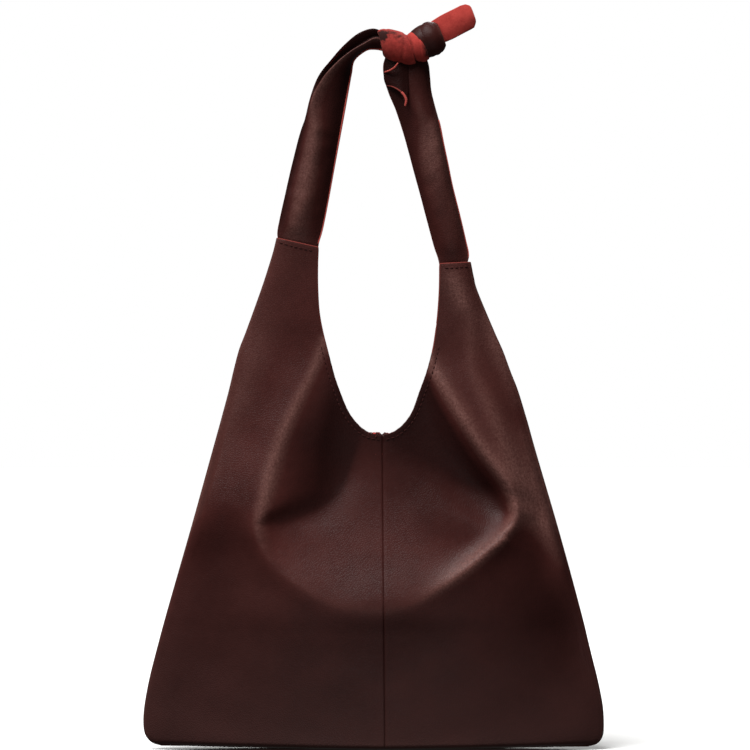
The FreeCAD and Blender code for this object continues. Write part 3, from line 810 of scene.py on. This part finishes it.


# Across the left strap: inner edge, middle, crest or crease, groove, silhouette and hidden edge. Each is (x,
# y, z, painted light): above 0 a painted highlight, below 0 painted shade
LEFT_STRAP = [
    [(-53, 0, 436, 0), (-61, 0, 437, 0), (-68, 0, 438.5, 0), (-74, 0, 440, 0), (-80, 0, 441.5, 0),
     (-83, 0, 442, 0)],
    [(-51.5, 0, 452, 0), (-60, -0.1, 453.6, 0), (-68, -0.1, 455, 0), (-75, -0.1, 456.6, 0),
     (-82, 0, 458.4, 0), (-85, 0, 459, 0)],
    [(-50.2, 0.8, 461, 0), (-59, -1.2, 463, 0.1), (-68, -1.9, 465, 0.4), (-76, -1.6, 467, 0.5),
     (-84, -0.4, 468.6, 0), (-87.3, 1.2, 469.5, -0.6)],
    [(-46.5, 2.8, 474, -0.1), (-55, -1.6, 476, 0), (-66, -5.0, 478.6, 0.5), (-74, -4.6, 480.4, 0.6),
     (-82, -0.6, 482.4, -0.6), (-85.4, 3.0, 483, -0.8)],
    [(-41.5, 4.2, 499, -0.2), (-49, -1.2, 500.6, -0.2), (-60, -6.4, 503, 0.6), (-69, -5.2, 505.2, 0.7),
     (-77.4, -0.2, 507.4, -0.7), (-80, 4.0, 508, -0.8)],
    [(-36.4, 4.2, 527, -0.5), (-44, -1.6, 528.6, -0.5), (-55.4, -7.2, 531.4, 0.8), (-64, -5.0, 533.6, 0.6),
     (-71.4, 0.6, 535.6, -0.9), (-73.6, 5.0, 536, -0.8)],
    [(-31, 4.0, 557, -0.8), (-38, -0.8, 558.6, -0.8), (-51, -7.4, 561.4, 0.7), (-58.5, -5.0, 563.4, 0.5),
     (-64, 0.6, 565.6, -0.9), (-65.6, 6.0, 566, -0.8)],
    [(-25.8, 5.0, 586, -1), (-36, -0.6, 586.2, -0.8), (-55.0, -7.0, 587.6, 0.8), (-57.2, -3.6, 589, 0.2),
     (-58.6, 1.0, 590.4, -0.6), (-55, 8, 591, -1)],
    [(-22.6, 6.0, 604, -1), (-30, -0.4, 605.8, -0.9), (-46.6, -7.8, 608.8, 0.9), (-46.6, -1.0, 608.8, -0.8),
     (-50.6, -1.0, 612.4, -1), (-45, 11, 610.5, -1)],
    [(-20.4, 6.0, 616, -1), (-25.2, -0.8, 618.2, -0.9), (-34.6, -8.6, 623.6, 1.0), (-34.2, 1.6, 623.2, -1),
     (-38.6, -1.6, 628.2, -0.7), (-32.8, 13, 625.5, -1)],
    [(-17.6, 5.0, 628.2, -1), (-18.4, -2.4, 629.9, -0.7), (-21.5, -8.8, 634.8, 1.0), (-21.6, 1.8, 635.0, -1),
     (-27.0, -2.2, 641.2, -0.4), (-20, 14, 637.5, -1)],
    [(-6.8, 3.0, 637.0, -0.8), (-7.5, -3.0, 638.7, -0.5), (-8.7, -8.6, 642.4, 1.0), (-9.3, 1.6, 643.8, -1),
     (-14.2, -2.2, 651.8, -0.3), (-9, 14, 648.2, -1)],
    [(2.0, 1.0, 638.0, -0.5), (1.9, -3.4, 641.6, -0.3), (1.3, -8.0, 647.4, 0.9), (1.0, 1.2, 649.0, -1),
     (-0.8, -2.0, 656.4, -0.4), (0, 12.5, 652, -1)],
    [(10.5, -1.0, 636.5, -0.4), (10.5, -3.0, 640, -0.2), (10.3, -5.4, 645.4, 0.4), (10.2, 0.2, 647.6, -1),
     (9.6, -0.6, 652.8, -1), (10, 9.5, 649, -1)],
    [(22, 0, 637, 0), (22, -1.2, 638.4, 0), (22, -2.2, 640, 0), (22, -2.0, 641.4, 0), (22, 1, 643.5, 0),
     (22, 5, 642, 0)],
]
# Across the right strap from its left edge, in the same way
RIGHT_STRAP = [
    [(64, 0, 424, 0), (69, 0, 424.6, 0), (74, 0, 425, 0), (79, 0, 425.6, 0), (82, 0, 426, 0)],
    [(62, 0, 434, 0), (68, 0, 434.6, 0), (74, 0, 435.4, 0), (80, 0, 436, 0), (83, 0, 436.4, 0)],
    [(59.6, 0.6, 446, -0.2), (66, -1.0, 447, -0.1), (73.4, -1.6, 448, 0), (81, -0.8, 449.2, 0),
     (86.6, 1.0, 450, 0.2)],
    [(55.4, 2.2, 458, -0.3), (62, -2.4, 459.4, -0.1), (70, -4.2, 461, 0.1), (78, -2.6, 462.6, 0.1),
     (84, 2.4, 464, 0.3)],
    [(49.4, 3.0, 480, -0.3), (56, -2.8, 481.5, 0), (64.4, -5.0, 483.6, 0.1), (73, -3.8, 485.6, 0.2),
     (78.6, 1.0, 487, 0.4)],
    [(42.4, 3.2, 506.4, -0.4), (49, -3.0, 508, 0.1), (57.4, -6.0, 510, 0.3), (66, -5.0, 512, 0.3),
     (72, 0.5, 513.4, 0.3)],
    [(37, 3.4, 526, -0.4), (44, -3.6, 527.6, 0.2), (52.6, -6.6, 529.6, 0.6), (62, -5.6, 531.8, 0.5),
     (68, 0.5, 533, 0.3)],
    [(32, 3.6, 545, -0.5), (39.4, -3.4, 546.6, 0), (48, -6.4, 548.4, 0.7), (58, -5.4, 550.4, 0.8),
     (64, 0.5, 551.6, 0.4)],
    [(27, 3.4, 563, -0.6), (35, -2.0, 564.4, -0.4), (44.6, -5.6, 566, 0.3), (54.6, -4.6, 567.6, 0.5),
     (60.6, 0.8, 568.6, 0.3)],
    [(20.8, 2.6, 582, -0.8), (30, -1.4, 583, -0.6), (41.4, -4.8, 584, 0.2), (50.6, -3.6, 585, -0.3),
     (56, 1.5, 585.6, 0.2)],
    [(14.6, 1.6, 597, -0.9), (24, -0.8, 598, -0.7), (37.6, -4.4, 598.8, 0), (47, -2.6, 599.4, -0.4),
     (52.6, 2.4, 599.8, -0.2)],
    [(10.4, 1.0, 611, -0.9), (21, -0.4, 611.6, -0.8), (34, -3.8, 612, -0.5), (45.4, -2.0, 612.4, -0.6),
     (51.4, 3.0, 612.6, -0.4)],
    [(9.4, 1.6, 623, -1), (20, 0, 623.6, -0.9), (32, -2.4, 624, -0.7), (44, -1.0, 624.2, -0.7),
     (50, 3.6, 624.4, -0.6)],
    [(12, 3.0, 633, -0.8), (21, 1.4, 633.6, -0.8), (31, 0.4, 634, -0.6), (41, 1.0, 634.2, -0.8),
     (46, 3.6, 634.4, -0.8)],
]


def strap(name, stations, rows, seed, edges):
    """A strap. edges are the cut edges that show: (column, radius, lower end, upper end, material)."""
    columns = 86
    made_of = loft(stations, columns, rows)
    grid, wear_and_painted_light = made_of[..., :3], made_of[..., 3]
    made = Piece(name, HIDE)
    across = np.linspace(-1, 1, columns)[None, :] * np.ones((rows, 1))
    x, z = grid[..., 0], grid[..., 2]
    free = smooth((z - FOLD_AT[2]) / 20) * smooth((600 - z) / 30) * (1 - np.abs(across) ** 4)
    grid[..., 1] += free * (unevenness(x, z, 0.45, seed) + unevenness(x, z, 0.22, seed + 1, (10, 26)))
    made.sheet(grid, (0, -1, 0), wear_and_painted_light=wear_and_painted_light)
    for column, radius, low, high, kind in edges:
        line = grid[:, column][(grid[:, column, 2] > low) & (grid[:, column, 2] < high)][::2]
        made.tube(line + [0, -LEATHER * 0.1, 0], radius * (0.7 + 0.3 * smooth((line[:, 2] - 520) / 60)), kind)
    return made.build()


left_strap = strap("left_strap_leather", LEFT_STRAP, 260, 21, [(0, 0.85, 459.5, 700, 3)])
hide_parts("left_strap", "left_strap_sewn_end")
right_strap = strap("right_strap_leather", RIGHT_STRAP, 220, 33, [(-1, 0.6, 447, 575, 3)])
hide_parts("right_strap", "right_strap_sewn_end")
for piece in (left_strap, right_strap):
    strap_blend(piece)

for side in ("left", "right"):
    made = Piece(f"{side}_strap_stitches", [THREAD])
    (x0, z0), (x1, z1) = SIDES[side][-1], MOUTHS[side][-1]
    for face in ("front", "back"):
        middle = ((x0 + x1) / 2, (z0 + z1) / 2 - 4.2)
        stitched(made, spline([(x0 * 0.975, z0 - 3.8), middle, (x1 * 1.03, z1 - 3.8)], 60, 2), face)
    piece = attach(made.build(), "bag")
    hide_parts(f"{side}_strap_stitching")


# ---------------------------------------------------------------- the knot

def tilted(degrees):
    """Two directions in the XZ plane: along a line at this angle to the X axis, and square to it."""
    t = math.radians(degrees)
    return np.array([math.cos(t), 0, math.sin(t)]), np.array([-math.sin(t), 0, math.cos(t)])


def turn(name, kinds, centre, tilt, length, half_depth, half_height, draw_in=0.3, creases=(), lean=0.0,
         seed=1, taper=0.0, stains_and_shade=()):
    """A turn of the strap round the knot: a band wrapped round the knot's axis, bulged, its edges drawn in.
    The dark patches, mostly painted shade in the knot's holes and gaps and partly a darker tone, are each
    (place along, angle round, size along, size round, share)."""
    rows, columns = 26, 72
    w = np.linspace(-1, 1, rows)[:, None]
    a = np.linspace(0, 2 * math.pi, columns, endpoint=False)[None, :]
    rng = np.random.default_rng(seed)
    shrink = (1 - draw_in * np.abs(w) ** 3) * (1 + taper * w)
    bumps = sum(0.018 * np.sin(k * a + rng.uniform(0, 6.3) + 1.5 * w * rng.uniform(-1, 1)) for k in (2, 3, 5))
    shape = shrink + bumps
    for place, size, swing in creases:
        shape = shape - size * np.exp(-((w - place - swing * np.sin(a + seed)) / 0.09) ** 2)
    ahead, up = tilted(tilt)
    side = np.array([0, 1, 0])
    reach = (w * length / 2 + lean * np.sin(a) * half_height)[..., None]
    grid = (np.asarray(centre, float) + reach * ahead
            + (shape * np.sin(a) * half_height)[..., None] * up
            + (shape * np.cos(a) * half_depth)[..., None] * side)
    made = Piece(name, HIDE)
    wear_and_painted_light = (0.5 if kinds[0] == 0 else 0.0) * np.abs(w) ** 8 * np.ones_like(a)
    for place, angle, size, spread, share in stains_and_shade:
        wear_and_painted_light = wear_and_painted_light - share * np.exp(-((w - place) / size) ** 2 - ((a - angle) / spread) ** 2)
    made.sheet(grid, grid - grid.mean(axis=1, keepdims=True), kinds=kinds, wear_and_painted_light=wear_and_painted_light, wrap=True)
    return made


pieces = {
    "knot_first_turn": turn("knot_first_turn_leather", FLESH_OUT, (21.2, 0, 639.7), -14, 30, 14.5, 14.6, 0.26,
                            [(-0.3, 0.03, 0.25), (0.4, 0.04, -0.25)], -0.36, 3,
                            stains_and_shade=[(-0.92, 2.5, 0.3, 0.42, 4.0), (-0.3, 2.2, 0.5, 0.4, 0.7),
                                    (0.3, 2.5, 0.4, 0.4, 0.5), (0, 3.1, 3, 3, 0.28)]),
    "knot_second_turn": turn("knot_second_turn_leather", FLESH_OUT, (40.6, -1.2, 639.3), -10, 14.5, 13.6,
                             12.7, 0.3, [(0.1, 0.03, 0.2)], -0.36, 5,
                             stains_and_shade=[(0.9, 3.5, 0.35, 0.5, 1.5), (-0.9, 3.3, 0.2, 1.5, 0.6)]),
    "knot_end_turn": turn("knot_end_turn_leather", GRAIN_OUT, (47.0, 1.0, 644.4), 22, 33, 13.6, 15.6, 0.42,
                          [(0.25, 0.04, 0.3), (0.62, 0.03, -0.2)], 0.0, 8, 0.16,
                          [(-0.2, 3.1, 0.9, 2.0, 0.5)]),
}
for node_name, made in pieces.items():
    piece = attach(made.build(), "handle")
    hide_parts(node_name)


def knot_core():
    """The strap's folded stretch through the middle of the turns."""
    path = spline([(10, 1, 642), (22, 0.5, 639.5), (34, 0, 638.5), (44, 0.5, 641), (54, 1, 646)], 40)
    made = Piece("knot_core_leather", HIDE)
    up = unit(np.cross(np.gradient(path, axis=0), [0, 1, 0]))
    a = np.linspace(0, 2 * math.pi, 40, endpoint=False)
    ripple = 1 + 0.12 * np.sin(5 * a)[None, :, None]
    size = (7.6 - 1.2 * np.abs(np.linspace(-1, 1, 40)) ** 3)[:, None, None] * ripple
    a = a[None, :, None]
    grid = path[:, None] + size * (up[:, None] * np.sin(a) + np.array([0, 1, 0]) * np.cos(a))
    made.sheet(grid, grid - path[:, None], wrap=True)
    return made.build()


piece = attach(knot_core(), "handle")
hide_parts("knot_core")


def upper_tail():
    """The free end of the left strap: a strip with rounded corners, flesh side to the front."""
    at = np.array([50.0, 1.6, 649.4])
    ahead, up = tilted(27)
    rows, columns = 70, 32
    v = np.linspace(-1, 1, columns)[None, :]
    reach = 45.5 + 1.2 * v - 3.6 * np.abs(v) ** 7
    s = np.linspace(0, 1, rows)[:, None] * reach
    half = 10.2 + 1.6 * smooth(s / 22) - 1.5 * smooth((s - 38) / 9)
    curl = -1.9 + 2.6 * v ** 2 + 0.8 * np.sin(s / 9) * (1 - v ** 2) + 0.02 * s * v
    grid = at + s[..., None] * ahead + (half * v)[..., None] * up + curl[..., None] * np.array([0, 1, 0])
    made = Piece("upper_tail_leather", HIDE)
    made.sheet(grid, (0, -1, 0), kinds=(1, 0, 3))
    return made.build()


piece = upper_tail()
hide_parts("left_strap_tail")
TAIL_AT = np.array(joints["tail_bend"]["pos_m"]) / MM
TAIL_AXIS = np.array(joints["tail_bend"]["axis"])
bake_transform(piece)


def lower_tail():
    """The free end of the right strap, in front of its own strap: a slanted cut that curls."""
    stations = [
        [(11.5, 0, 632), (17, -3.0, 632), (24, -4.4, 631), (31.5, -2.5, 631)],
        [(9.6, 0.4, 620), (16, -3.6, 619), (24, -5.6, 618), (31.6, -3.8, 617)],
        [(9.6, 0.6, 612), (16, -3.8, 610.5), (24, -6.2, 608.5), (31.4, -4.8, 606)],
        [(10.6, 0.4, 607), (16.5, -4.0, 605), (24, -6.8, 601.5), (31, -6.0, 597)],
        [(12.2, 0.2, 603.6), (18, -4.0, 601.6), (24.6, -7.2, 597.4), (29.6, -7.4, 588)],
    ]
    grid = loft(stations, 30, 44)
    made = Piece("lower_tail_leather", HIDE)
    # The whole tail takes the darkest painted shade
    made.sheet(grid, (0, -1, 0), kinds=(0, 1, 0), wear_and_painted_light=-np.ones(grid.shape[:2]))
    curl = spline([(12.2, 0.2, 604.6), (17.4, -4.0, 603.3), (22.6, -7.2, 600.2), (27.2, -8.8, 596.2),
                   (29.8, -9.2, 590.8), (28.8, -8.6, 585.2)], 48)
    made.tube(curl[:27], np.linspace(0.5, 0.85, 27), 2)
    made.tube(curl[26:], 1.15 * (1 - 0.35 * np.linspace(-0.6, 1, 22) ** 6), 3)
    fray = spline([(9.8, 0.6, 616.6), (14.6, -6.4, 617.8), (19.2, -10.0, 620.4), (22.4, -11.4, 624.4)], 24)
    made.tube(fray, 0.9 * (1 - 0.4 * np.linspace(-1, 1, 24) ** 4), 3)
    return made.build()


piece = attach(lower_tail(), "handle")
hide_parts("right_strap_tail")


# ---------------------------------------------------------------- the closure

def tab(name, stations):
    grid = loft(stations, 24, 50)
    made = Piece(name, HIDE)
    made.sheet(grid, (0, 0, 1), 1.5)
    return made.build()


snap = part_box("snap_socket")
SNAP_X = (snap[0][0] + snap[1][0]) / 2 / MM


def tab_stations(path, half):
    """Stations across a tab of this half width, at each (y, z, share of the width) of a path."""
    return [[(SNAP_X + half * s * share, y, z) for share in (-1, -1 / 3, 1 / 3, 1)] for y, z, s in path]


def inner_wall(face, z):
    return surface_point(face, SNAP_X + 3, z)[0][1]


low_tab, high_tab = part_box("front_snap_tab"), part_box("closure_tab")
low_z, high_z = low_tab[1][2] / MM, high_tab[1][2] / MM
half_width = (low_tab[1][0] - low_tab[0][0]) / 2 / MM
front_y = inner_wall("front", 262)
tip_y = low_tab[1][1] / MM
piece = tab("front_tab_leather", tab_stations(
    [(inner_wall("front", 250) + 3.6, 250, 1), (inner_wall("front", 257) + 3.4, 257, 1),
     (front_y + 4.6, low_z - 1.2, 1), (front_y + 9, low_z, 1), (-4, low_z, 0.98), (tip_y - 4, low_z, 0.9),
     (tip_y, low_z, 0.62)], half_width))
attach(piece, "bag")
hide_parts("front_snap_tab")
tip_y = high_tab[0][1] / MM
hinge = np.array(joints["closure_lift"]["pos_m"]) / MM
piece = tab("closure_tab_leather", tab_stations(
    [(inner_wall("back", 252) - 3.4, 252, 1), (inner_wall("back", 260) - 3.3, 260, 1),
     (hinge[1] + 0.9, high_z - 2.0, 1), (hinge[1] - 2.6, high_z, 1), (4, high_z, 0.98),
     (tip_y + 4, high_z, 0.9), (tip_y, high_z, 0.62)], half_width))
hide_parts("closure_tab", "closure_tab_foot")
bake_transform(piece)

for name in ("snap_socket", "snap_socket_washer", "snap_stud", "snap_stud_cap"):
    brass_node = frame["nodes"][name]
    for slot in brass_node.material_slots:
        slot.material = BRASS


# ---------------------------------------------------------------- floor, light and camera

def floor():
    """A pale floor that takes the bag's shadow, but neither shades nor lights it."""
    mesh = bpy.data.meshes.new("floor")
    size = 12.0
    corners = [(-size, -size, 0), (size, -size, 0), (size, size, 0), (-size, size, 0)]
    mesh.from_pydata(corners, [], [(0, 1, 2, 3)])
    look = Look("pale_floor")
    colour = look.mixed(look.noise(400.0), (0.80, 0.80, 0.79, 1), (0.84, 0.84, 0.83, 1))
    look.fill(look.shader, {"Base Color": colour, "Roughness": 0.8})
    mesh.materials.append(look.material)
    made = add_object("floor", mesh)
    made.visible_glossy = made.visible_diffuse = made.visible_shadow = False


def lamp(name, kind, place, power, size):
    """A lamp that shines from place to the middle of the bag."""
    data = bpy.data.lights.new(name, kind)
    data.energy = power
    if kind == "SUN":
        data.angle = size
    else:
        data.shape, data.size = "DISK", size
    made = add_object(name, data)
    made.location = place
    made.visible_camera = False
    made.rotation_euler = (Vector((0, 0, 0.3)) - Vector(place)).to_track_quat("-Z", "Y").to_euler()


def world():
    """Pale all round. What the camera sees is brighter than what lights the bag."""
    made = bpy.data.worlds.new("studio")
    made.use_nodes = True
    nodes, links = made.node_tree.nodes, made.node_tree.links
    nodes.clear()
    mix = nodes.new("ShaderNodeMixShader")
    links.new(nodes.new("ShaderNodeLightPath").outputs["Is Camera Ray"], mix.inputs[0])
    for slot, strength in ((1, 0.06), (2, 1.0)):
        pale = nodes.new("ShaderNodeBackground")
        pale.inputs["Color"].default_value, pale.inputs["Strength"].default_value = (1, 1, 1, 1), strength
        links.new(pale.outputs[0], mix.inputs[slot])
    links.new(mix.outputs[0], nodes.new("ShaderNodeOutputWorld").inputs[0])
    bpy.context.scene.world = made


floor()
world()
lamp("key", "SUN", (-0.78, -1.0, 2.45), 4.8, math.radians(38))
lamp("left", "AREA", (-1.5, -1.4, 1.75), 3, 0.5)
lamp("table", "AREA", (0.1, -2.4, -0.6), 7, 1.0)    # what a pale table throws back; the floor doesn't stop it
lamp("behind", "AREA", (0.7, 1.9, 2.0), 36, 1.6)

VIEW_CENTRE = (1.4, 341.0)     # x and z
VIEW_WIDTH = 683.0
CAMERA_AWAY = 4000.0
SENSOR = 36
camera_data = bpy.data.cameras.new("camera")
camera_data.sensor_width = SENSOR
camera_data.lens = SENSOR * CAMERA_AWAY / VIEW_WIDTH
camera = add_object("camera", camera_data)
camera.location = (VIEW_CENTRE[0] * MM, -CAMERA_AWAY * MM, VIEW_CENTRE[1] * MM)
camera.rotation_euler = (math.pi / 2, 0, 0)
bpy.context.scene.camera = camera
bpy.context.scene.view_settings.view_transform = "Standard"
